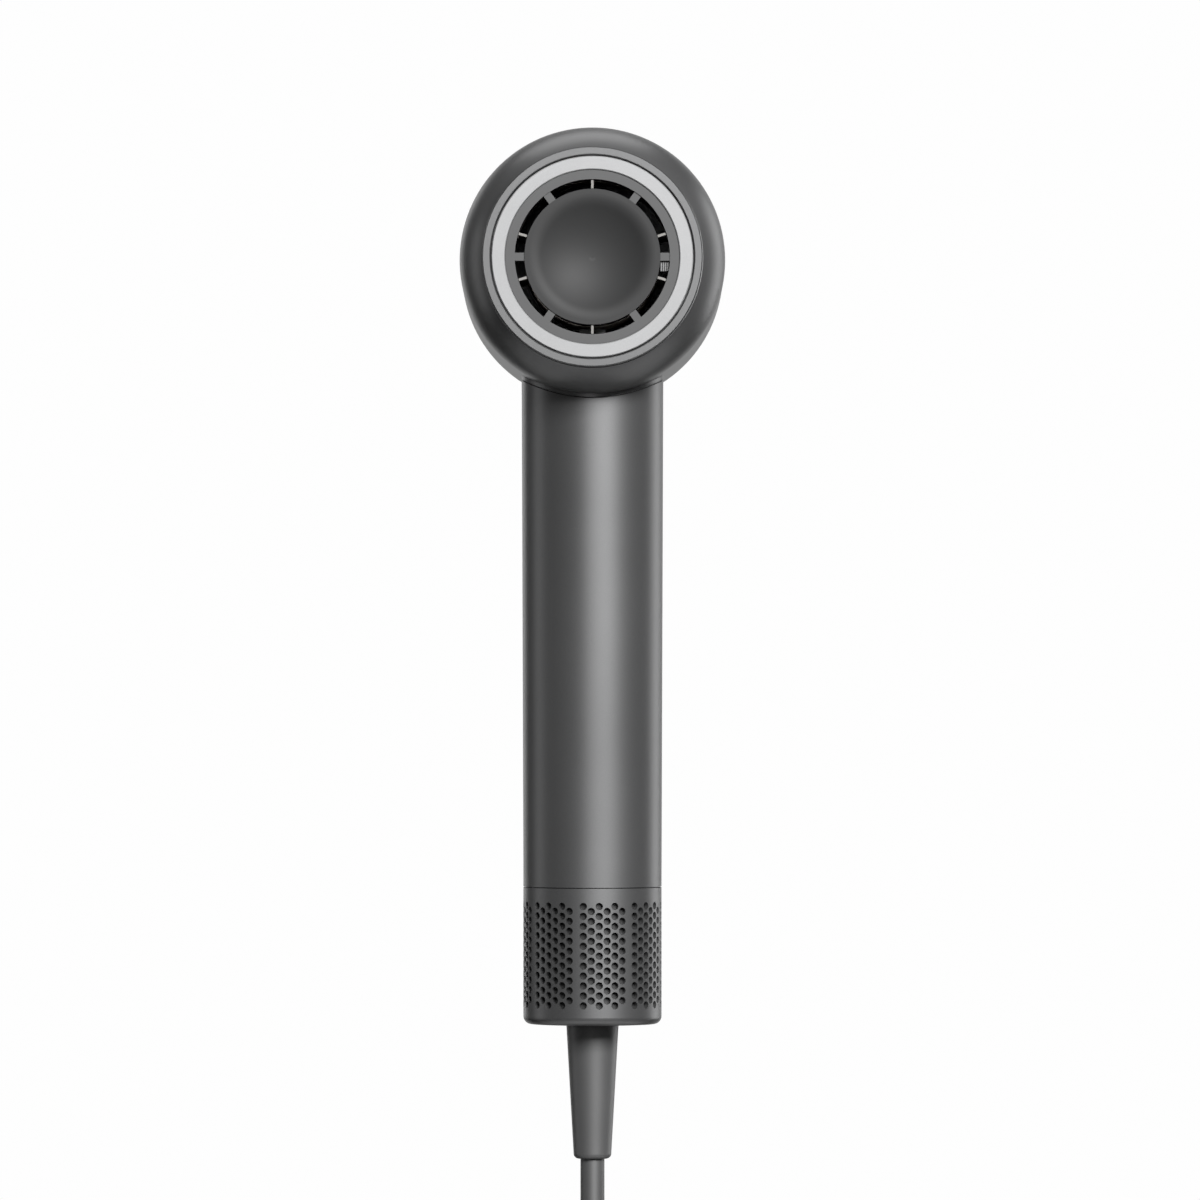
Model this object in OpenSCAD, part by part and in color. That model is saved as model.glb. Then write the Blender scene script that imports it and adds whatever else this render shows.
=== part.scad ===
// Round-head hair dryer with a mains lead: an annular outlet round a dished
// centre, a straight round handle with the fan motor inside it, and a perforated intake
// sleeve at its foot. +Z is up the handle and -Y is the way the air blows.

/* [Head] */
// Outer diameter of the barrel of the head
head_d = 77; // [76.8:0.1:77.4]
// Height of the head's axis above the middle of the grip
head_z = 108.8; // [108:0.1:110]
// Angle by which the outlet points above the level
head_tilt = 1.6; // [0:0.1:2]
// Where the barrel ends and the front shoulder begins, in front of the handle's axis
barrel_front = 21.3; // [21:0.1:21.8]
// Radius of the rounded front shoulder
shoulder_r = 21; // [20.5:0.1:21.5]
// Where the housing ends at the front
shell_front = 36.5; // [36:0.1:37]
// Where the rear cover begins, behind the handle's axis
rear_seam = 34; // [32:0.5:36]
// Where the rounding of the back begins
barrel_rear = 46; // [44:0.5:47]
// Corner radius of the rear cover
rear_r = 13; // [12:0.5:14]
// Wall of the moulded housings
wall = 1.8; // [1.6:0.1:1.9]

/* [Outlet] */
// Outer radius of the front bezel
bezel_r = 31.8; // [31.6:0.1:31.9]
// How far the bezel's lip stands in front of the handle's axis
bezel_front = 41; // [40.5:0.1:41.5]
// Outer radius of the bright attachment ring
ring_ro = 29.1; // [29:0.05:29.2]
// Inner radius of the bright attachment ring
ring_ri = 25.2; // [25.1:0.05:25.3]
// Outer radius of the air slots
slot_ro = 22.4; // [22.2:0.1:22.5]
// Inner radius of the air slots
slot_ri = 19.6; // [19.5:0.1:19.8]
// Radius of the hollow's edge on the dished hub
dish_edge = 18.2; // [17.5:0.1:18.5]
// Radius of the soft rim round the hollow
dish_rim = 7; // [6:0.5:8]
// Slope where the rim turns into the hollow
dish_slope = 30; // [26:1:32]
// Width of the spokes that carry the hub
spoke_w = 2.3; // [2:0.1:3]
// Angle of the slanted spokes above and below the level
spoke_lean = 54; // [52:1:60]
// Angle of the slanted heater boards above and below the level
board_lean = 17.5; // [16:0.5:20]

/* [Handle] */
// Diameter of the handle at the seam of the intake sleeve
grip_d = 40.3; // [40:0.1:40.5]
// Diameter of the handle just under the head, a little more than at the seam
grip_top_d = 41.3; // [41:0.1:41.5]
// Height of the seam above the intake sleeve, from the middle of the grip
seam_z = -72.6; // [-73:0.1:-72]
// Height of the foot of the sleeve, from the middle of the grip
foot_z = -112.7; // [-113.2:0.1:-112.3]
// Corner radius at the foot of the sleeve
foot_r = 2.3; // [1.5:0.1:2.5]

/* [Intake holes] */
// Diameter of one hole
hole_d = 2.15; // [1.8:0.05:2.2]
// Number of panels of holes round the sleeve
panels = 8; // [8]
// Columns of holes in one panel
columns = 6; // [4:1:6]
// Angle between two columns
column_pitch = 6.62; // [6.4:0.02:6.8]
// Angle of the first column from the front
first_column = -7.6; // [-10:0.1:-5]
// Height of the top row
top_row = -78; // [-78.5:0.1:-77.5]
// Distance between two holes of a column
row_pitch = 2.88; // [2.7:0.01:2.9]
// Holes in a long column, one more than in a short one
long_column = 11; // [9:1:11]

/* [Motor] */
// Outer radius of the motor housing
motor_r = 14.4; // [14.2:0.1:14.5]
// Height of the foot of the motor housing
motor_z = -30; // [-31:0.5:-29]
// Length of the motor housing
motor_h = 34; // [32:1:36]
// Number of impeller blades
blades = 11; // [7:2:13]
// Radius of the rotor shaft
shaft_r = 1.5; // [1.2:0.1:1.6]

/* [Controls] */
// Half width of the control panel at the back of the handle
panel_hw = 7; // [6.5:0.5:7.5]
// Height of the foot of the control panel
panel_z0 = 12; // [11:1:13]
// Height of the top of the control panel
panel_z1 = 66; // [65:0.5:66]
// Travel of the power slider
slider_travel = 8; // [6:0.5:8]
// Radius of the heat button
heat_r = 4.4; // [4:0.1:4.5]
// Radius of the cool-shot button
cool_r = 3.1; // [3:0.1:3.5]

/* [Mains lead] */
// Diameter of the lead
cord_d = 7; // [6.5:0.1:7.2]
// Radius of the strain relief at the foot of the handle
relief_r = 7.6; // [7.2:0.1:7.7]
// Radius of the strain relief at its lower end
relief_tip_r = 5.5; // [5:0.1:6]
// Height of the lower end of the strain relief
relief_tip_z = -152; // [-154:0.5:-150]
// Radius of the folds at the ends of the hank
fold_r = 21.3; // [21:0.1:24]
// Turns in the hank
turns = 5; // [4:1:6]
// Radius of a plug pin
pin_r = 2.4; // [2.4]
// Distance between the plug pins
pin_gap = 19; // [19]

/* [Hidden] */
$fn = 96;
eps = 0.01;
head_r = head_d / 2;
grip_r = grip_d / 2;
grip_top_r = grip_top_d / 2;
grip_ri = 18.2;
panel_r = grip_top_r + 0.1;
rear_back = barrel_rear + rear_r;
// Straight cylinder round the head's axis on which the handle ends
crease_r = head_r + 1.2;
ring_front = bezel_front - 0.4;
grille_front = bezel_front - 1;
spoke_angles = [0, 180, spoke_lean, -spoke_lean, 180 - spoke_lean, 180 + spoke_lean];
board_angles = [90, 270, board_lean, -board_lean, 180 - board_lean, 180 + board_lean];
// Inside of the handle
chassis_ro = grip_ri - 0.2;
chassis_ri = chassis_ro - 1.2;
frame_r = 17.6;
frame_floor = foot_z + 2.7;
sleeve_ri = 18.7;
sleeve_hole_r = relief_r + 0.5;
// Heater chamber
chamber_r = 30;
chamber_rear = 2;
chamber_front = 22;
core_r = 13.5;
// Motor
bore_r = motor_r - 1.4;
hub_r = 9.4;
bearing_r = 2.5;
// Controls
board_y = 13.5;
slider_z = 24;
heat_z = 47;
cool_z = 58;
lens_z = 40.7;
button_seat = 17;
// Hank of the lead: heights of its parts and the layers of its turns
hank_top = -177.2;
fold_z = hank_top - fold_r;
waist_z = fold_z - 43;
waist_len = 16;
waist_hw = 3.75;
layer = cord_d;
tail_y = 45;
tail_z = waist_z - 7.5;
low_fold_z = waist_z - waist_len - 43;
cord_r = cord_d / 2;
// Route of the free stretch of the lead, from inside the relief to the top of the hank
cord_route = [[0, 0, -130], [0, 0, -145], [0, 0, -160], [0, 0, -176]];

// Turns children so that their own Z axis is the head's axis, with the outlet upwards
module on_head_axis() { translate([0, 0, head_z]) rotate([90 - head_tilt, 0, 0]) children(); }

module tube(ro, ri, z0, z1) {
  translate([0, 0, z0]) difference() {
    cylinder(r = ro, h = z1 - z0);
    translate([0, 0, -1]) cylinder(r = ri, h = z1 - z0 + 2);
  }
}

module disc(r, z0, z1) { translate([0, 0, z0]) cylinder(r = r, h = z1 - z0); }

// Box given by its lower and upper corners
module block(low, high) { translate(low) cube(high - low); }

// Half section of the barrel and its shoulder, at a distance inside the outside
module barrel_section(inset) {
  intersection() {
    union() {
      translate([0, -rear_seam]) square([head_r - inset, rear_seam + barrel_front]);
      translate([head_r - shoulder_r, barrel_front]) circle(r = shoulder_r - inset);
      translate([0, barrel_front]) square([head_r - shoulder_r, shoulder_r - inset]);
    }
    translate([0, -rear_seam]) square([head_r + 1, rear_seam + shell_front]);
  }
}

// Half section of the rounded back of the head
module rear_section(inset) {
  intersection() {
    union() {
      translate([0, -barrel_rear]) square([head_r - inset, barrel_rear]);
      translate([head_r - rear_r, -barrel_rear]) circle(r = rear_r - inset);
      translate([0, -rear_back + inset]) square([head_r - rear_r, rear_r]);
    }
    translate([0, -rear_back - 1]) square([head_r + 1, rear_back + 1 - rear_seam]);
  }
}

module head_shell() {
  color("#4a4b4d") on_head_axis() difference() {
    rotate_extrude() difference() {
      barrel_section(0);
      barrel_section(wall);
      translate([0, shell_front - 12]) square([30.25, 20]);
    }
    // Opening into the handle, with a notch in front for the leads
    block([-13, -60, -12.5], [13, -20, 12.5]);
    block([-6, -60, 12], [6, -20, 17]);
  }
}

module rear_cover() {
  color("#4a4b4d") on_head_axis() union() {
    rotate_extrude() difference() {
      rear_section(0);
      rear_section(wall);
    }
    // Skirt inside the barrel
    tube(head_r - wall + 0.5, head_r - wall - 1.6, -rear_seam - 3, -rear_seam);
    tube(head_r - wall - 0.1, head_r - wall - 1.6, -rear_seam - 3, -rear_seam + 4);
  }
}

module nozzle_bezel() {
  lip_ri = ring_ro + 0.3;
  edge = 0.3;
  color("#7c7d7f") on_head_axis() rotate_extrude() union() {
    // Flat lip in front of the housing, with its two edges broken
    difference() {
      translate([lip_ri, shell_front + 0.1]) square([bezel_r - lip_ri, bezel_front - shell_front - 0.1]);
      for (x = [lip_ri, bezel_r]) translate([x, bezel_front]) rotate(45) square(edge * 1.414, center = true);
    }
    // Spigot inside the housing
    translate([ring_ro - 0.6, 30]) square([1.6, shell_front - 29.9]);
  }
}

module attachment_ring() {
  color("#d9dadb") on_head_axis() rotate_extrude() difference() {
    translate([ring_ri, ring_front - 2.6]) square([ring_ro - ring_ri, 2.6]);
    for (edge = [ring_ri, ring_ro]) translate([edge, ring_front])
      rotate(45) square(0.35, center = true);
  }
}

module nozzle_frame() {
  color("#2c2d2f") on_head_axis() difference() {
    tube(ring_ro - 0.8, ring_ri, 30, ring_front - 2.65);
    for (a = [30:60:330]) rotate(a) translate([(ring_ro + ring_ri) / 2 - 0.4, 0, ring_front - 4.65])
      cylinder(r = 1.3, h = 5, $fn = 32);
  }
}

module ring_magnets() {
  color("#b8babd") on_head_axis()
    for (a = [30:60:330]) rotate(a) translate([(ring_ro + ring_ri) / 2 - 0.4, 0, ring_front - 4.6])
      cylinder(r = 1.25, h = 1.9, $fn = 32);
}

module outlet_grille() {
  color("#6b6c6e") on_head_axis() union() {
    tube(ring_ri - 0.1, slot_ro, grille_front - 3.2, grille_front);
    tube(slot_ri - 0.05, 16, grille_front - 3.8, grille_front - 1.3);
    for (a = spoke_angles) rotate(a) intersection() {
      tube(slot_ro + 0.2, slot_ri - 0.25, grille_front - 3.6, grille_front - 0.4);
      difference() {
        block([0, -spoke_w / 2, 0], [40, spoke_w / 2, 60]);
        disc(slot_ri + 0.02, grille_front - 1.25, 60);
      }
    }
  }
}

// Hub cap with a shallow hollow: a flat band, a soft rim and a round bottom
module centre_dish() {
  turn_r = dish_edge - dish_rim * sin(dish_slope);
  turn_z = dish_rim * cos(dish_slope) - dish_rim;
  bowl_r = turn_r / sin(dish_slope);
  color("#6b6c6e") on_head_axis() translate([0, 0, grille_front]) rotate_extrude() difference() {
    union() {
      translate([0, -1.25]) square([slot_ri, 1.25]);
      translate([0, -7]) square([15.9, 6]);
    }
    intersection() {
      translate([0, turn_z + bowl_r * cos(dish_slope)]) circle(r = bowl_r, $fn = 180);
      translate([0, -6.5]) square([turn_r, 8]);
    }
    difference() {
      translate([turn_r - eps, turn_z]) square([dish_edge - turn_r + eps, 2]);
      translate([dish_edge, -dish_rim]) circle(r = dish_rim);
    }
  }
}

module flow_cone() {
  color("#1d1e20") on_head_axis() rotate_extrude() union() {
    translate([slot_ri - 1.6, 30]) square([1.4, grille_front - 3.8 - 30]);
    polygon([[core_r - 1.5, chamber_front + 0.2], [core_r, chamber_front + 0.2],
      [slot_ri - 0.2, 30], [slot_ri - 0.2, 31], [slot_ri - 1.6, 31], [core_r - 1.5, 23.5]]);
    translate([0, chamber_front + 0.2]) square([core_r - 1, 1.2]);
  }
}

module tail_cap() {
  color("#1d1e20") on_head_axis() translate([0, 0, chamber_rear - 0.2]) difference() {
    sphere(r = core_r);
    sphere(r = core_r - 1.2);
    disc(core_r + 1, 0, core_r + 1);
  }
}

module duct_shroud() {
  color("#2c2d2f") on_head_axis() union() {
    rotate_extrude() polygon([[slot_ro + 0.1, grille_front - 3.3], [slot_ro + 1.7, grille_front - 3.3],
      [slot_ro + 1.7, 29.5], [chamber_r, chamber_front], [chamber_r, chamber_rear],
      [chamber_r - 1.6, chamber_rear], [chamber_r - 1.6, chamber_front - 0.8], [slot_ro + 0.1, 28.5]]);
    // Ribs that centre the duct in the housing
    for (a = [30:60:330]) rotate(a)
      block([chamber_r - 0.5, -1, 8], [head_r - wall - 0.9, 1, chamber_front - 3]);
  }
}

module heater_boards() {
  color("#cfc8b4") on_head_axis() union() {
    tube(core_r, core_r - 0.6, chamber_rear, chamber_front);
    for (a = board_angles) rotate(a)
      union() {
      block([core_r - 0.3, -0.35, chamber_rear + 1], [chamber_r - 2.3, 0.35, chamber_front - 2]);
      block([slot_ri + 0.15, -0.35, chamber_front - 3], [slot_ro - 0.15, 0.35, grille_front - 0.6]);
    }
  }
}

module heater_coil() {
  color("#9a958c") on_head_axis() union() {
    for (k = [0:4]) translate([0, 0, 5 + k * 3.2]) rotate_extrude()
      translate([k % 2 == 0 ? 19.2 : 23.4, 0]) circle(r = 0.55, $fn = 24);
  }
}

module heater_liner() {
  color("#cfc8b4") on_head_axis() tube(chamber_r - 1.7, chamber_r - 2.2, chamber_rear, chamber_front - 1);
}

module thermal_cutout() {
  color("#a9abad") on_head_axis() rotate(135) union() {
    translate([16.3, 0, 8]) rotate([0, 90, 0]) cylinder(r = 2.6, h = 1.6, $fn = 48);
    block([core_r, -1.5, 6.5], [16.4, 1.5, 9.5]);
  }
}

module temperature_sensor() {
  color("#8b8c8e") on_head_axis() union() {
    block([slot_ri + 0.1, -4.1, 33], [slot_ro - 0.4, -1.3, 34.5]);
    for (k = [0:3]) block([slot_ri + 0.1 + k * 0.62, -4.1, 34.4], [slot_ri + 0.5 + k * 0.62, -1.3, 38.4]);
  }
}

module ion_emitter() {
  color("#55575a") on_head_axis() for (side = [0, 1]) mirror([side, 0, 0]) union() {
    block([0.6, -slot_ro + 0.1, 8], [3.8, -slot_ri - 0.25, 17]);
    translate([2.2, -(slot_ro + slot_ri) / 2, 17 - eps]) cylinder(r = 0.35, h = 2, $fn = 24);
  }
}

module ion_module() {
  color("#26282b") on_head_axis() union() {
    block([-12, -7, -rear_back + wall + 0.1], [12, 7, -rear_back + wall + 9]);
    for (x = [-7, 7]) translate([x, 0, -rear_back + wall + 9 - eps]) cylinder(r = 1, h = 3, $fn = 24);
  }
}

module heater_terminals() {
  color("#c9b27a") union() {
    for (x = [-3.2, 3.2])
      block([x - 1.4, -17, head_z - chamber_r - 2.6], [x + 1.4, -14.2, head_z - chamber_r + 0.4]);
  }
}

// Outside of the handle, which widens a little towards the head
module grip_solid() {
  top = head_z - head_r + 9;
  translate([0, 0, seam_z]) cylinder(r1 = grip_r, r2 = grip_top_r + 0.03, h = top - seam_z);
}

// What lies within a distance of the head's axis
module head_cylinder(r) { on_head_axis() translate([0, 0, -30]) cylinder(r = r, h = 60); }

module neck_collar() {
  color("#4a4b4d") difference() {
    intersection() {
      grip_solid();
      head_cylinder(crease_r - 0.15);
    }
    head_cylinder(head_r + 0.02);
    disc(grip_ri, 0, head_z);
  }
}

module neck_seal() {
  color("#1d1e20") intersection() {
    difference() {
      head_cylinder(crease_r + 0.12);
      head_cylinder(crease_r - 0.12);
    }
    tube(grip_top_r - 0.3, grip_ri, head_z - crease_r - 3, head_z - head_r + 10);
  }
}

module handle_tube() {
  color("#4a4b4d") difference() {
    grip_solid();
    disc(grip_ri, seam_z - 1, head_z);
    head_cylinder(crease_r + 0.15);
    block([-panel_hw - 0.05, 0, panel_z0 - 0.05], [panel_hw + 0.05, 30, panel_z1 + 0.05]);
  }
}

module handle_chassis() {
  color("#2c2d2f") difference() {
    tube(chassis_ro, chassis_ri, -66, 66);
    block([-10, 0, panel_z0 - 2], [10, 30, 68]);
    for (z = [12, 40]) block([-9, -30, z], [9, 0, z + 22]);
    for (z = [-62]) block([-9, -30, z], [9, 0, z + 26]);
  }
}

module motor_housing() {
  color("#9da0a3") union() {
    difference() {
      tube(motor_r, bore_r, motor_z, motor_z + motor_h);
      translate([0, 0, motor_z - eps]) cylinder(r1 = bore_r + 0.9, r2 = bore_r, h = 1);
    }
    tube(hub_r, hub_r - 1, motor_z + 13, motor_z + motor_h - 2);
    for (k = [0:8]) rotate(k * 40)
      block([hub_r - 0.3, -0.4, motor_z + 15], [bore_r + 0.3, 0.4, motor_z + 27]);
    for (z = [motor_z + 13, motor_z + motor_h - 4]) tube(hub_r - 0.5, bearing_r + 0.02, z, z + 2);
  }
}

module stator_core() {
  color("#6f7274") union() {
    tube(hub_r - 1.1, hub_r - 2.7, -12, -4);
    for (a = [0:90:270]) rotate(a) block([4.9, -1.2, -12], [hub_r - 2.5, 1.2, -4]);
  }
}

module windings() {
  color("#b06a3a") for (a = [0:90:270]) rotate(a) difference() {
    block([5.1, -2.5, -13.3], [6.1, 2.5, -2.7]);
    block([4, -1.25, -12.05], [7, 1.25, -3.95]);
  }
}

module rotor_shaft() { color("#c9cccf") disc(shaft_r, motor_z + 2, motor_z + motor_h - 1); }

module rotor_magnet() { color("#44474a") tube(4.3, shaft_r, -12, -4); }

module impeller() {
  z0 = motor_z + 3;
  color("#dadcdd") difference() {
    union() {
      translate([0, 0, z0]) cylinder(r1 = 3.4, r2 = 8.2, h = 8.5);
      intersection() {
        for (k = [0:blades - 1]) rotate(k * 360 / blades)
          translate([4, 0, z0 + 4.2]) rotate([38, 0, 0]) block([0, -0.35, -8], [12, 0.35, 8]);
        difference() {
          disc(bore_r - 0.3, z0 + 0.5, z0 + 8.3);
          disc(3, z0 - 1, z0 + 9);
        }
      }
    }
    disc(shaft_r, z0 - 1, z0 + 10);
  }
}

module motor_bearings() {
  color("#b9bcbf") for (z = [motor_z + 13, motor_z + motor_h - 4]) tube(bearing_r, shaft_r + 0.03, z, z + 2);
}

module motor_mounts() {
  color("#232425") for (z = [motor_z + 1, motor_z + motor_h - 6]) difference() {
    tube(chassis_ri - 0.05, motor_r, z, z + 5);
    block([-5.5, -30, z - 1], [5.5, -10, z + 6]);
  }
}

module driver_board() { color("#1f5a3c") block([-13, 2, -64], [13, 3.6, -33]); }

module driver_parts() {
  color("#3a3c3f") union() {
    translate([-5, -3, -62]) cylinder(r = 5, h = 20, $fn = 48);
    block([2, -1.2, -60], [11, 2, -52]);
    block([3, -3.5, -48], [12, 2, -36]);
    for (x = [-8:4:8]) block([x - 1.2, 3.6, -58], [x + 1.2, 5.2, -50]);
    block([-7, 3.6, -46], [7, 7, -38]);
  }
}

module control_board() { color("#1f5a3c") block([-8.5, board_y - 1.2, 14], [8.5, board_y, 64]); }

module tact_switches() {
  color("#2a2b2c") for (z = [heat_z, cool_z]) union() {
    block([-3, board_y, z - 3], [3, board_y + 1.4, z + 3]);
    translate([0, board_y + 1.3, z]) rotate([-90, 0, 0]) cylinder(r = 1.3, h = 0.35, $fn = 32);
  }
}

module slide_switch() {
  color("#2a2b2c") difference() {
    block([-3.5, board_y, slider_z - 6], [3.5, board_y + 2.6, slider_z + slider_travel + 6]);
    block([-1.1, board_y + 0.8, slider_z - 2.2], [1.1, 30, slider_z + slider_travel + 2.2]);
  }
}

module control_panel() {
  color("#3c3d3f") difference() {
    intersection() {
      tube(panel_r, grip_ri - 0.3, panel_z0, panel_z1);
      block([-panel_hw, 0, panel_z0], [panel_hw, 30, panel_z1]);
    }
    block([-2.2, 0, slider_z - 5.2], [2.2, 30, slider_z + slider_travel + 5.2]);
    for (b = [[heat_z, heat_r], [cool_z, cool_r], [lens_z, 1.1]])
      translate([0, 0, b[0]]) rotate([-90, 0, 0]) cylinder(r = b[1] + 0.15, h = 30);
  }
}

module power_slider() {
  color("#9fa1a3") union() {
    block([-2, 17, slider_z - 5], [2, panel_r + 0.9, slider_z + 5]);
    for (z = [-3:1.5:3]) block([-2, panel_r + 0.8, slider_z + z - 0.3], [2, panel_r + 1.3, slider_z + z + 0.3]);
    block([-0.9, board_y + 1, slider_z - 2], [0.9, 17.1, slider_z + 2]);
  }
}

// Round button with a flange behind the panel
module push_button(z, r) {
  translate([0, 0, z]) rotate([-90, 0, 0]) union() {
    disc(r, button_seat - 0.7, panel_r + 0.45);
    disc(r + 0.5, button_seat - 0.8, button_seat - 0.2);
    disc(r - 0.5, panel_r + 0.35, panel_r + 0.75);
  }
}

module heat_button() { color("#9fa1a3") push_button(heat_z, heat_r); }
module cool_button() { color("#9fa1a3") push_button(cool_z, cool_r); }

module indicator_lens() {
  color("#e8eef2") translate([0, 0, lens_z]) rotate([-90, 0, 0]) disc(1.1, 16.5, panel_r);
}

module intake_frame() {
  color("#2c2d2f") union() {
    difference() {
      tube(frame_r, frame_r - 1.4, frame_floor, seam_z + 0.5);
      for (k = [0:7]) rotate(k * 45 + first_column + 16.5 - 90)
        block([10, -5, frame_floor + 4], [20, 5, seam_z - 4]);
    }
    difference() {
      disc(frame_r, frame_floor, frame_floor + 2);
      disc(relief_r + 0.05, frame_floor - 1, frame_floor + 3);
      for (a = [45:90:315]) rotate(a) translate([13, 0, frame_floor - 0.1]) cylinder(r = 2.05, h = 1.7, $fn = 48);
      for (x = [-12, 12]) translate([x, 0, frame_floor + 0.8]) cylinder(r = 1.3, h = 4, $fn = 32);
    }
    tube(chassis_ro, frame_r - 1.4, seam_z + 0.2, -66.1);
    for (x = [-12, 12]) translate([x, 0, 0]) tube(2.4, 1.3, frame_floor + 1.9, frame_floor + 4.5);
  }
}

module base_magnets() {
  color("#b8babd") for (a = [45:90:315]) rotate(a) translate([13, 0, frame_floor]) cylinder(r = 2, h = 1.5, $fn = 48);
}

// One cutter for an intake hole, at an angle from the front and a height
module hole_cutter(angle, z) {
  rotate(angle - 90) translate([sleeve_ri - 1.5, 0, z]) rotate([0, 90, 0])
    cylinder(r = hole_d / 2, h = 5, $fn = 24);
}

module filter_sleeve() {
  color("#3c3d3f") difference() {
    rotate_extrude() difference() {
      union() {
        translate([0, foot_z + foot_r]) square([grip_r, seam_z - 0.25 - foot_z - foot_r]);
        translate([grip_r - foot_r, foot_z + foot_r]) circle(r = foot_r);
        translate([0, foot_z]) square([grip_r - foot_r, foot_r + 1]);
      }
      translate([0, foot_z + 1.6]) square([sleeve_ri, 60]);
      translate([0, foot_z - 1]) square([sleeve_hole_r, 4]);
    }
    for (p = [0:panels - 1], c = [0:columns - 1], k = [0:long_column - 1 - c % 2])
      hole_cutter(first_column + p * 360 / panels + c * column_pitch,
        top_row - (k + (c % 2) / 2) * row_pitch);
  }
}

module filter_mesh() { color("#2a2b2c") tube(sleeve_ri - 0.1, sleeve_ri - 0.5, foot_z + 3.2, seam_z - 1.2); }

module catch_ring() { color("#9da0a3") tube(17, sleeve_hole_r + 0.8, foot_z + 1.65, foot_z + 2.4); }

module strain_relief() {
  color("#5a5b5d") difference() {
    union() {
      disc(9.4, frame_floor + 2, frame_floor + 4.5);
      disc(relief_r, foot_z - 1, frame_floor + 2.1);
      // Slightly tapered sleeve with a rounded lower end
      rotate_extrude() union() {
        polygon([[0, foot_z - 0.5], [relief_r, foot_z - 0.5], [relief_tip_r, relief_tip_z + 1.5], [0, relief_tip_z + 1.5]]);
        translate([0, relief_tip_z]) square([relief_tip_r - 1.5, 2]);
        translate([relief_tip_r - 1.5, relief_tip_z + 1.5]) circle(r = 1.5, $fn = 48);
      }
    }
    disc(cord_r + 0.05, relief_tip_z - 1, -129.5);
    disc(cord_r, frame_floor + 1, frame_floor + 5);
  }
}

module cord_clamp() {
  color("#3a3c3f") difference() {
    intersection() {
      block([-15, -4.5, frame_floor + 4.5], [15, 4.5, frame_floor + 6.5]);
      disc(frame_r - 1.7, frame_floor, frame_floor + 10);
    }
    disc(cord_r + 0.1, frame_floor, frame_floor + 10);
    for (x = [-12, 12]) translate([x, 0, frame_floor]) cylinder(r = 1.3, h = 10, $fn = 32);
  }
}

module clamp_screws() {
  color("#b9bcbf") for (x = [-12, 12]) translate([x, 0, 0]) difference() {
    union() {
      disc(1.25, frame_floor + 1.4, frame_floor + 6.6);
      disc(2.3, frame_floor + 6.5, frame_floor + 8);
    }
    block([-1.6, -0.3, frame_floor + 7.4], [1.6, 0.3, frame_floor + 9]);
  }
}

module internal_leads() {
  color("#8a2f2a") union() {
    disc(cord_r, frame_floor + 2, frame_floor + 12);
    for (x = [-2, 2]) translate([x, 0, 0]) disc(0.9, frame_floor + 11.9, -68);
    for (x = [-2, 2]) translate([x, 2.8, 0]) disc(0.9, -70, -64.05);
    for (x = [-2, 2]) block([x - 0.9, -0.9, -70], [x + 0.9, 3.7, -68]);
    for (x = [-3.2, 3.2]) translate([x, -15.6, 0]) disc(0.7, -36, head_z - chamber_r - 2.6);
    for (x = [-3.2, 3.2]) block([x - 0.7, -15.6, -37.4], [x + 0.7, -3.6, -36]);
  }
}

// Ring of points round one point of the lead's route; the route runs down
function cord_ring(p, sides) = [for (k = [0:sides - 1])
  [p[0] + cord_r * cos(k * 360 / sides), p[1] + cord_r * sin(k * 360 / sides), p[2]]];

module cord() {
  sides = 12;
  rings = len(cord_route);
  points = [for (p = cord_route) each cord_ring(p, sides)];
  faces = concat(
    [[for (k = [sides - 1:-1:0]) k]],
    [for (r = [0:rings - 2], k = [0:sides - 1])
      [r * sides + k, r * sides + (k + 1) % sides, (r + 1) * sides + (k + 1) % sides, (r + 1) * sides + k]],
    [[for (k = [0:sides - 1]) (rings - 1) * sides + k]]);
  color("#56575a") polyhedron(points = points, faces = faces);
}

// Outline of the hank across the object, wide at its folds and gathered at its waist
module hank_outline() {
  translate([0, fold_z]) circle(r = fold_r + cord_r);
  translate([0, low_fold_z]) circle(r = fold_r + cord_r);
  side = waist_hw + cord_r;
  polygon([[-side, waist_z], [-fold_r, fold_z - 12], [fold_r, fold_z - 12], [side, waist_z],
    [side, waist_z - waist_len], [fold_r, low_fold_z + 12], [-fold_r, low_fold_z + 12],
    [-side, waist_z - waist_len]]);
}

module cord_hank() {
  color("#56575a") union() {
    translate([0, turns * layer - cord_r, 0]) rotate([90, 0, 0])
      linear_extrude(turns * layer) hank_outline();
    translate([0, tail_y + cord_r, 0]) rotate([90, 0, 0]) linear_extrude(tail_y + layer - turns * layer)
      intersection() {
        hank_outline();
        translate([-40, tail_z]) square([80, 100]);
      }
  }
}

module cord_tie() {
  back = turns * layer - cord_r;
  color("#232425") difference() {
    block([-waist_hw - cord_r - 1.6, -cord_r - 1.6, waist_z - waist_len],
      [waist_hw + cord_r + 1.6, back + 1.6, waist_z - 8]);
    block([-waist_hw - cord_r - 0.05, -cord_r - 0.05, waist_z - waist_len - 1],
      [waist_hw + cord_r + 0.05, back + 0.05, waist_z]);
  }
}

module plug_body() {
  color("#3c3d3f") translate([0, tail_y, tail_z]) union() {
    translate([0, 0, -28]) cylinder(r1 = 8.5, r2 = 5, h = 28);
    translate([0, 0, -40]) linear_extrude(14) union() {
      circle(r = 11);
      translate([-9, -9]) square([18, 18]);
      for (x = [-7, 7]) translate([x, 0]) circle(r = 9);
    }
    translate([0, 0, -66]) linear_extrude(26) union() {
      for (x = [-5.5, 5.5]) translate([x, 0]) circle(r = 12.5);
      translate([-5.5, -12.5]) square([11, 25]);
    }
  }
}

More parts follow.
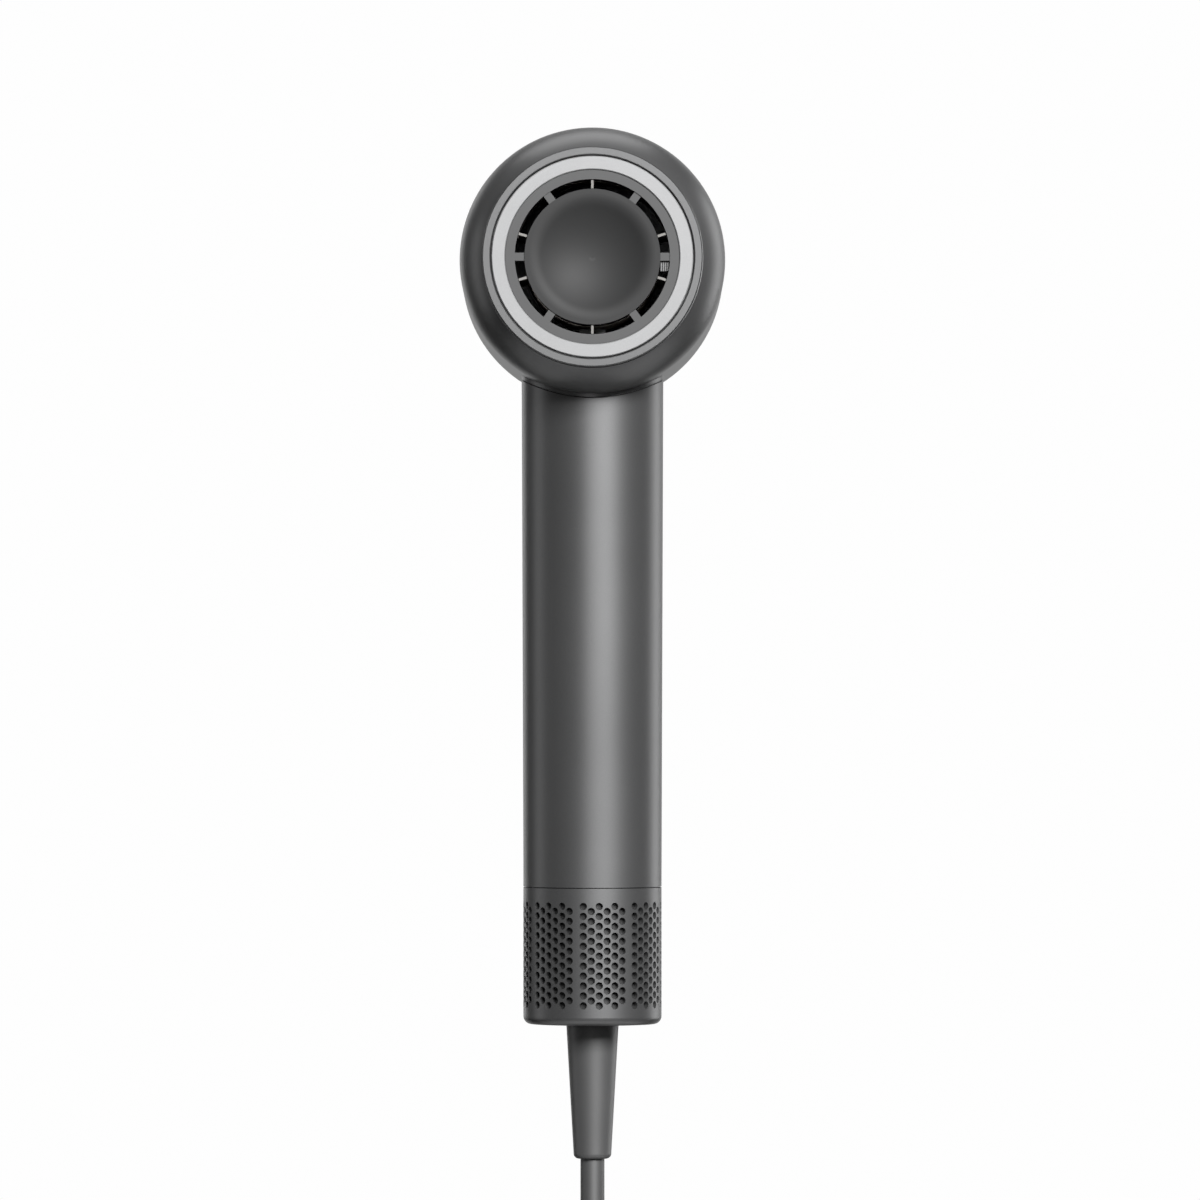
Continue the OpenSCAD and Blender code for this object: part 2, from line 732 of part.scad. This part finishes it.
module plug_pins() {
  color("#c9cccf") translate([0, tail_y, tail_z - 66]) for (x = [-pin_gap / 2, pin_gap / 2])
    translate([x, 0, -19]) union() {
      translate([0, 0, 1]) cylinder(r = pin_r, h = 18, $fn = 48);
      cylinder(r1 = pin_r - 0.8, r2 = pin_r, h = 1, $fn = 48);
    }
}

head_shell();
rear_cover();
nozzle_bezel();
attachment_ring();
nozzle_frame();
ring_magnets();
outlet_grille();
centre_dish();
flow_cone();
tail_cap();
duct_shroud();
heater_boards();
heater_coil();
heater_liner();
thermal_cutout();
temperature_sensor();
ion_emitter();
ion_module();
heater_terminals();
neck_collar();
neck_seal();
handle_tube();
handle_chassis();
motor_housing();
stator_core();
windings();
rotor_shaft();
rotor_magnet();
impeller();
motor_bearings();
motor_mounts();
driver_board();
driver_parts();
control_board();
tact_switches();
slide_switch();
control_panel();
power_slider();
heat_button();
cool_button();
indicator_lens();
intake_frame();
base_magnets();
filter_sleeve();
filter_mesh();
catch_ring();
strain_relief();
cord_clamp();
clamp_screws();
internal_leads();
cord();
cord_hank();
cord_tie();
plug_body();
plug_pins();
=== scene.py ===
import math

import bpy
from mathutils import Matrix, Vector


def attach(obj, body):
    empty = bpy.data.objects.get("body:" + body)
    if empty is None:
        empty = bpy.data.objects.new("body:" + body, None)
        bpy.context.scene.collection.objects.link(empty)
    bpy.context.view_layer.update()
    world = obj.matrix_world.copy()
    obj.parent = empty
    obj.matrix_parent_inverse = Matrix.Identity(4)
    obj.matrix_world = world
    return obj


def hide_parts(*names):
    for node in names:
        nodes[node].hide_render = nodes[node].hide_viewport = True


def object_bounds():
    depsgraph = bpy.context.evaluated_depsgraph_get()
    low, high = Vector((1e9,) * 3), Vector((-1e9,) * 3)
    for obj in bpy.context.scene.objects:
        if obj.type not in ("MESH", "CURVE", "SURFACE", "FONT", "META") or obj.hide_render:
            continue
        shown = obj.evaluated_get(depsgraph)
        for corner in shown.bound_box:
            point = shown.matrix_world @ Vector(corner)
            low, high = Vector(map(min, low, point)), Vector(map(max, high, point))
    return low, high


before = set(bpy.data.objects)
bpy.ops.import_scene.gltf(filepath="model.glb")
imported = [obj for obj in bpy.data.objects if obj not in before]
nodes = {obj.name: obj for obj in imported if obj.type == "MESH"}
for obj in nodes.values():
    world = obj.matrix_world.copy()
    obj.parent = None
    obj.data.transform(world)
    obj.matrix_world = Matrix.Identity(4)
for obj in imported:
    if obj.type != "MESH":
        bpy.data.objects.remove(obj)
cad_low, cad_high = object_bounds()
scene = bpy.context.scene
scene.view_settings.view_transform = "Standard"

MM = 0.001
cord_r = 3.5 * MM


# ---------------------------------------------------------------- camera
# The object hangs upright and the camera looks level along +Y from far away.
CAMERA_X, CAMERA_Y, CAMERA_Z = 2.2 * MM, -3.5, 10.9 * MM
LENS, SENSOR_WIDTH = 360, 36

camera_data = bpy.data.cameras.new("camera")
camera_data.lens = LENS
camera_data.sensor_width = SENSOR_WIDTH
camera = bpy.data.objects.new("camera", camera_data)
camera.location = (CAMERA_X, CAMERA_Y, CAMERA_Z)
camera.rotation_euler = (math.radians(90), 0, 0)
scene.collection.objects.link(camera)
scene.camera = camera


# ---------------------------------------------------------------- materials
BUMP_DEPTH = 0.1 * MM


def node_material(name, color, rough=0.4, metal=0.0, grain=0.04, grain_size=0.4, bump=0.04,
                  mottle=0.06, mottle_size=12.0, rough_spread=0.05, stretch=(1, 1, 1), shine=0.5):
    """Principled material with fine grain, slow mottling and a light bump; sizes in millimetres.
    grain and mottle are the shares of the tone that each noise changes, rough_spread is what the
    mottling adds to the roughness or takes from it, and shine is the strength of the reflection
    of anything that isn't metal."""
    mat = bpy.data.materials.new(name)
    mat.use_nodes = True
    tree = mat.node_tree
    make, link = tree.nodes.new, tree.links.new
    shader = tree.nodes["Principled BSDF"]
    shader.inputs["Metallic"].default_value = metal
    shader.inputs["Specular IOR Level"].default_value = shine
    place = make("ShaderNodeTexCoord")
    scale = make("ShaderNodeMapping")
    scale.inputs["Scale"].default_value = stretch
    link(place.outputs["Object"], scale.inputs["Vector"])
    fine = make("ShaderNodeTexNoise")
    fine.inputs["Scale"].default_value = 1 / (grain_size * MM)
    fine.inputs["Detail"].default_value = 2
    slow = make("ShaderNodeTexNoise")
    slow.inputs["Scale"].default_value = 1 / (mottle_size * MM)
    slow.inputs["Detail"].default_value = 3
    link(scale.outputs["Vector"], fine.inputs["Vector"])
    link(scale.outputs["Vector"], slow.inputs["Vector"])
    # colour: a ramp between a darker and a lighter tone of the same colour
    both = make("ShaderNodeMath")
    both.operation = "MULTIPLY_ADD"
    link(fine.outputs["Fac"], both.inputs[0])
    both.inputs[1].default_value = grain
    half = make("ShaderNodeMath")
    half.operation = "MULTIPLY"
    link(slow.outputs["Fac"], half.inputs[0])
    half.inputs[1].default_value = mottle
    link(half.outputs["Value"], both.inputs[2])
    ramp = make("ShaderNodeValToRGB")
    spread = grain + mottle
    ramp.color_ramp.elements[0].position = 0.0
    ramp.color_ramp.elements[0].color = [c * (1 - spread) for c in color] + [1]
    ramp.color_ramp.elements[1].position = max(spread, 0.01)
    ramp.color_ramp.elements[1].color = [min(c * (1 + spread), 1) for c in color] + [1]
    link(both.outputs["Value"], ramp.inputs["Fac"])
    link(ramp.outputs["Color"], shader.inputs["Base Color"])
    # roughness varies a little with the mottling
    vary = make("ShaderNodeMapRange")
    vary.inputs["To Min"].default_value = max(rough - rough_spread, 0.02)
    vary.inputs["To Max"].default_value = min(rough + rough_spread, 1.0)
    link(slow.outputs["Fac"], vary.inputs["Value"])
    link(vary.outputs["Result"], shader.inputs["Roughness"])
    relief = make("ShaderNodeBump")
    relief.inputs["Strength"].default_value = bump
    relief.inputs["Distance"].default_value = BUMP_DEPTH
    link(fine.outputs["Fac"], relief.inputs["Height"])
    link(relief.outputs["Normal"], shader.inputs["Normal"])
    return mat


def grey(value):
    """A barely cool grey."""
    return (value, value * 1.005, value * 1.015)


def satin(name, tone):
    """Satin metallic paint, the finish of the whole outside."""
    return node_material(name, grey(tone), rough=0.38, metal=0.80, grain=0.10, grain_size=0.25,
                         bump=0.03, mottle=0.03, mottle_size=30, rough_spread=0.02)


paint = satin("satin_paint", 0.120)
# The bezel is the same satin paint as the shell; this darker copy of it is painted shade that holds the
# bezel's lit front face down.
bezel_paint_painted_shade = satin("bezel_paint_painted_shade", 0.090)
silver = node_material("grained_silver", grey(0.192), rough=0.42, metal=0.25, grain=0.12, grain_size=0.22,
                       bump=0.10, mottle=0.03, rough_spread=0.04)
grille_mat = node_material("grille_grey", grey(0.040), rough=0.50, metal=0.1, shine=0.35, grain=0.05,
                           grain_size=0.3, bump=0.05, mottle=0.03)
# The dish is the grille's own grey; its much darker tone here is painted shade standing in for the shade of
# its recess.
dish_painted_shade_mat = node_material("dish_grey_painted_shade", grey(0.019), rough=0.58, shine=0.20, grain=0.06, grain_size=0.3,
                         bump=0.02, mottle=0.03, rough_spread=0.03)
black = node_material("moulded_black", grey(0.018), rough=0.5, grain=0.1, grain_size=0.5, bump=0.08)
rubber = node_material("soft_rubber", grey(0.02), rough=0.7, grain=0.1, grain_size=0.6, bump=0.10)
lead_mat = node_material("lead_jacket", grey(0.036), shine=0.8, rough=0.52, grain=0.08, grain_size=0.35,
                         bump=0.07, mottle=0.05, rough_spread=0.06)
relief_mat = node_material("relief_jacket", grey(0.040), shine=0.9, rough=0.48, grain=0.08, grain_size=0.3,
                           bump=0.06, mottle=0.04, rough_spread=0.05)
mica = node_material("mica_sheet", (0.13, 0.126, 0.118), rough=0.65, grain=0.25, grain_size=1.4, bump=0.06,
                     mottle=0.2, mottle_size=6)
sensor_mat = node_material("sensor_grey", grey(0.10), rough=0.45, grain=0.05, bump=0.03)
emitter_mat = node_material("emitter_grey", grey(0.35), rough=0.5, grain=0.05, bump=0.03)
wire_mat = node_material("heating_wire", (0.35, 0.32, 0.29), rough=0.35, metal=0.9, grain=0.1, bump=0.02)
steel = node_material("plain_steel", grey(0.55), rough=0.28, metal=1.0, grain=0.06, grain_size=0.3,
                      stretch=(1, 1, 6))
nickel = node_material("nickel_plate", grey(0.60), rough=0.22, metal=1.0, grain=0.04, bump=0.01)
aluminium = node_material("turned_aluminium", grey(0.50), rough=0.36, metal=1.0, grain=0.08, grain_size=0.5,
                          stretch=(1, 1, 8), bump=0.05)
copper = node_material("enamelled_copper", (0.55, 0.22, 0.09), rough=0.3, metal=0.8, grain=0.3,
                       grain_size=0.5, stretch=(1, 1, 0.1), bump=0.3)
laminate = node_material("core_stack", grey(0.16), rough=0.5, metal=0.4, grain=0.2, grain_size=0.5,
                         stretch=(0.1, 0.1, 3), bump=0.2)
fan_mat = node_material("fan_plastic", grey(0.50), rough=0.42, grain=0.04, bump=0.03)
board_mat = node_material("circuit_board", (0.02, 0.12, 0.05), rough=0.35, grain=0.2, grain_size=1.5,
                          bump=0.05, mottle=0.2, mottle_size=5)
brass = node_material("nickel_brass", (0.62, 0.56, 0.42), rough=0.25, metal=1.0, grain=0.05, bump=0.02)
button_mat = node_material("button_satin", grey(0.20), rough=0.4, grain=0.06, grain_size=0.3, bump=0.04)
mesh_mat = node_material("woven_screen", grey(0.012), rough=0.55, metal=0.3, grain=0.4, grain_size=0.3,
                         bump=0.4)
sleeving = node_material("red_sleeving", (0.32, 0.03, 0.02), rough=0.45, grain=0.08, bump=0.05)

lens_mat = node_material("frosted_lens", (0.80, 0.85, 0.88), rough=0.3, grain=0.05, bump=0.02)
lens_mat.node_tree.nodes["Principled BSDF"].inputs["Transmission Weight"].default_value = 0.4

# Which nodes each material covers
LOOKS = {
    paint: ["head_shell", "rear_cover", "neck_collar", "handle_tube", "control_panel", "filter_sleeve"],
    bezel_paint_painted_shade: ["nozzle_bezel"],
    silver: ["attachment_ring"],
    grille_mat: ["outlet_grille"],
    dish_painted_shade_mat: ["centre_dish"],
    black: ["nozzle_frame", "flow_cone", "tail_cap", "duct_shroud", "handle_chassis", "intake_frame",
            "cord_clamp", "plug_body", "driver_parts", "tact_switches", "slide_switch", "ion_module"],
    rubber: ["neck_seal", "motor_mounts", "cord_tie"],
    lead_mat: ["cord", "cord_hank"],
    relief_mat: ["strain_relief"],
    mica: ["heater_boards", "heater_liner"],
    wire_mat: ["heater_coil"],
    steel: ["rotor_shaft", "motor_bearings", "clamp_screws", "thermal_cutout", "catch_ring"],
    nickel: ["ring_magnets", "rotor_magnet", "base_magnets"],
    aluminium: ["motor_housing"],
    copper: ["windings"],
    laminate: ["stator_core"],
    fan_mat: ["impeller"],
    sensor_mat: ["temperature_sensor"],
    emitter_mat: ["ion_emitter"],
    board_mat: ["driver_board", "control_board"],
    brass: ["plug_pins", "heater_terminals"],
    button_mat: ["power_slider", "heat_button", "cool_button"],
    mesh_mat: ["filter_mesh"],
    sleeving: ["internal_leads"],
    lens_mat: ["indicator_lens"],
}
for look, names in LOOKS.items():
    for name in names:
        mesh = nodes[name].data
        mesh.materials.clear()
        mesh.materials.append(look)


# ---------------------------------------------------------------- softened edges
def soften(names, width, segments=2, angle=40):
    """Round the sharp edges of moulded pieces a little, so that they catch light. width is in
    millimetres, and an edge is sharp when it turns by more than angle degrees."""
    for name in names:
        edge = nodes[name].modifiers.new("soft_edge", "BEVEL")
        edge.width = width * MM
        edge.segments = segments
        edge.limit_method = "ANGLE"
        edge.angle_limit = math.radians(angle)
        edge.harden_normals = True


soften(["power_slider"], 0.18)
soften(["plug_body", "cord_tie"], 0.6, segments=3)
soften(["heat_button", "cool_button"], 0.15)


# ---------------------------------------------------------------- the lead
# Route in millimetres: straight down out of the relief, then five turns of a hank that is
# gathered at its waist, and down its back into the plug.
START_Z = [-130, -138, -146, -154, -164, -176, -190, -205]
FOLD_R, FOLD_Z, LOW_FOLD_Z = 21.3, -198.5, -300.5
WAIST_X, WAIST_TOP, WAIST_LOW = 3.75, -241.5, -257.5
WAIST_MID = (WAIST_TOP + WAIST_LOW) / 2
# Turns lie one behind another, a layer apart
LAYER, TURNS = 7.0, 5
# Where the lead goes into the plug, and how far it reaches in
TAIL_Y, TAIL_Z, TAIL_INSIDE = 45.0, -249.0, 4
# Points along the first bend, each other bend, the last bend and each fold
FIRST_STEPS, BEND_STEPS, TAIL_STEPS, FOLD_STEPS = 4, 6, 8, 12


def ease(t):
    """0 to 1 with a soft start and a soft end."""
    return (1 - math.cos(math.pi * t)) / 2


def bend(start, end, steps, y_from, y_to):
    """Points of two equal arcs that carry the lead sideways from one vertical to another; the
    first point is left out. start and end are (x, z)."""
    (x0, z0), (x1, z1) = start, end
    across, along = x1 - x0, z1 - z0
    radius = (across ** 2 + along ** 2) / (4 * abs(across))
    turn = math.asin(abs(along) / 2 / radius)
    points = []
    for i in range(1, steps + 1):
        t = i / steps
        angle = 2 * turn * min(t, 1 - t)
        side, on = radius * (1 - math.cos(angle)), radius * math.sin(angle)
        if t <= 0.5:
            x, z = x0 + math.copysign(side, across), z0 + math.copysign(on, along)
        else:
            x, z = x1 - math.copysign(side, across), z1 - math.copysign(on, along)
        points.append((x, y_from + (y_to - y_from) * ease(t), z))
    return points


def fold(z, y, top):
    """Half turn of the lead, from right to left over the top or from left to right below; the
    first point is left out."""
    points = []
    radius = FOLD_R if top else -FOLD_R
    for i in range(1, FOLD_STEPS + 1):
        a = math.pi * i / FOLD_STEPS
        points.append((radius * math.cos(a), y, z + radius * math.sin(a)))
    return points


def lead_route():
    """Points of the lead's centreline, from inside the relief to inside the plug."""
    points = [(0, 0, z) for z in START_Z]
    for k in range(TURNS):
        y = k * LAYER
        if k == 0:
            points += bend((0, START_Z[-1]), (-WAIST_X, WAIST_TOP), FIRST_STEPS, y, y)
        else:
            points += bend((-FOLD_R, FOLD_Z), (-WAIST_X, WAIST_TOP), BEND_STEPS, y, y)
        points += [(-WAIST_X, y, WAIST_MID), (-WAIST_X, y, WAIST_LOW)]
        points += bend((-WAIST_X, WAIST_LOW), (-FOLD_R, LOW_FOLD_Z), BEND_STEPS, y, y)
        points += fold(LOW_FOLD_Z, y, False)
        points += bend((FOLD_R, LOW_FOLD_Z), (WAIST_X, WAIST_LOW), BEND_STEPS, y, y)
        points += [(WAIST_X, y, WAIST_MID), (WAIST_X, y, WAIST_TOP)]
        points += bend((WAIST_X, WAIST_TOP), (FOLD_R, FOLD_Z), BEND_STEPS, y, y + LAYER)
        points += fold(FOLD_Z, y + LAYER, True)
    points += bend((-FOLD_R, FOLD_Z), (0, TAIL_Z), TAIL_STEPS, TURNS * LAYER, TAIL_Y)
    points += [(0, TAIL_Y, TAIL_Z - TAIL_INSIDE)]
    return [Vector(p) * MM for p in points]


def tube_curve(name, points, radius, mat):
    """Smooth curve through the points, with a round section."""
    data = bpy.data.curves.new(name, "CURVE")
    data.dimensions = "3D"
    data.bevel_depth = radius
    data.bevel_resolution = 5
    data.resolution_u = 4
    data.use_fill_caps = True
    spline = data.splines.new("BEZIER")
    spline.bezier_points.add(len(points) - 1)
    for b, p in zip(spline.bezier_points, points):
        b.co = p
        b.handle_left_type = b.handle_right_type = "AUTO"
    data.materials.append(mat)
    piece = bpy.data.objects.new(name, data)
    scene.collection.objects.link(piece)
    return piece


route = lead_route()
lead = tube_curve("lead", route, cord_r, lead_mat)
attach(lead, "dryer")
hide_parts("cord", "cord_hank")


# ---------------------------------------------------------------- stage and light
FLOOR_RADIUS, FLOOR_DROP = 1.6, 1.1
# Brightness of the room below and above, and the heights of the view direction between which it changes
ROOM_LOW, ROOM_HIGH = 0.01, 0.15
SLOPE_LOW, SLOPE_HIGH = -0.7, 0.8
BACKDROP = (0.99, 0.99, 0.99, 1)


def disc_mesh(name, radius, z, segments=128):
    """Flat level disc, as one face."""
    mesh = bpy.data.meshes.new(name)
    angles = [2 * math.pi * k / segments for k in range(segments)]
    ring = [(radius * math.cos(a), radius * math.sin(a), z) for a in angles]
    mesh.from_pydata(ring, [], [list(range(segments))])
    piece = bpy.data.objects.new(name, mesh)
    scene.collection.objects.link(piece)
    return piece


floor = disc_mesh("floor", FLOOR_RADIUS, cad_low.z - FLOOR_DROP)
floor_mat = node_material("pale_floor", (0.42, 0.42, 0.42), rough=0.8, grain=0.01, bump=0.0, mottle=0.01)
floor.data.materials.append(floor_mat)

# The camera sees plain near-white; everything else sees a dim room that darkens downwards.
world = bpy.data.worlds.new("studio")
scene.world = world
world.use_nodes = True
wt = world.node_tree
sky = wt.nodes["Background"]
sky.inputs["Strength"].default_value = 1.0
direction = wt.nodes.new("ShaderNodeTexCoord")
split = wt.nodes.new("ShaderNodeSeparateXYZ")
height = wt.nodes.new("ShaderNodeMapRange")
height.inputs["From Min"].default_value = SLOPE_LOW
height.inputs["From Max"].default_value = SLOPE_HIGH
height.inputs["To Min"].default_value = ROOM_LOW
height.inputs["To Max"].default_value = ROOM_HIGH
wt.links.new(direction.outputs["Generated"], split.inputs["Vector"])
wt.links.new(split.outputs["Z"], height.inputs["Value"])
wt.links.new(height.outputs["Result"], sky.inputs["Color"])
seen = wt.nodes.new("ShaderNodeBackground")
seen.inputs["Color"].default_value = BACKDROP
seen.inputs["Strength"].default_value = 1.0
path = wt.nodes.new("ShaderNodeLightPath")
mix = wt.nodes.new("ShaderNodeMixShader")
wt.links.new(path.outputs["Is Camera Ray"], mix.inputs["Fac"])
wt.links.new(sky.outputs["Background"], mix.inputs[1])
wt.links.new(seen.outputs["Background"], mix.inputs[2])
wt.links.new(mix.outputs["Shader"], wt.nodes["World Output"].inputs["Surface"])


# A point inside the handle, above its middle, at which every light points
AIM = Vector((0, 0, 0.03))


def softbox(name, azimuth, elevation, distance, width, height, power):
    """Area light that looks at the object; azimuth 0 is the camera's side and grows to the right.
    Angles in degrees, lengths in metres, power in watts."""
    a, e = math.radians(azimuth), math.radians(elevation)
    away = Vector((math.sin(a) * math.cos(e), -math.cos(a) * math.cos(e), math.sin(e)))
    data = bpy.data.lights.new(name, "AREA")
    data.shape = "RECTANGLE"
    data.size, data.size_y, data.energy = width, height, power
    lamp = bpy.data.objects.new(name, data)
    lamp.location = AIM + away * distance
    lamp.rotation_mode = "QUATERNION"
    lamp.rotation_quaternion = away.to_track_quat("Z", "Y")
    lamp.visible_camera = False
    scene.collection.objects.link(lamp)


softbox("key", 21, 26, 4.4, 2.6, 1.4, 545)
softbox("front", -4, 6, 2.6, 0.5, 0.5, 2.5)
softbox("left", -100, 0, 2.0, 0.7, 1.6, 3.2)
softbox("left_rim", -151, 6, 2.4, 0.5, 1.4, 3.1)
softbox("right_rim", 128, 5, 2.0, 1.0, 1.6, 10.5)
softbox("top", 188, 62, 2.2, 2.0, 1.2, 15)
softbox("back", 180, 0, 3.0, 3.0, 3.0, 18)
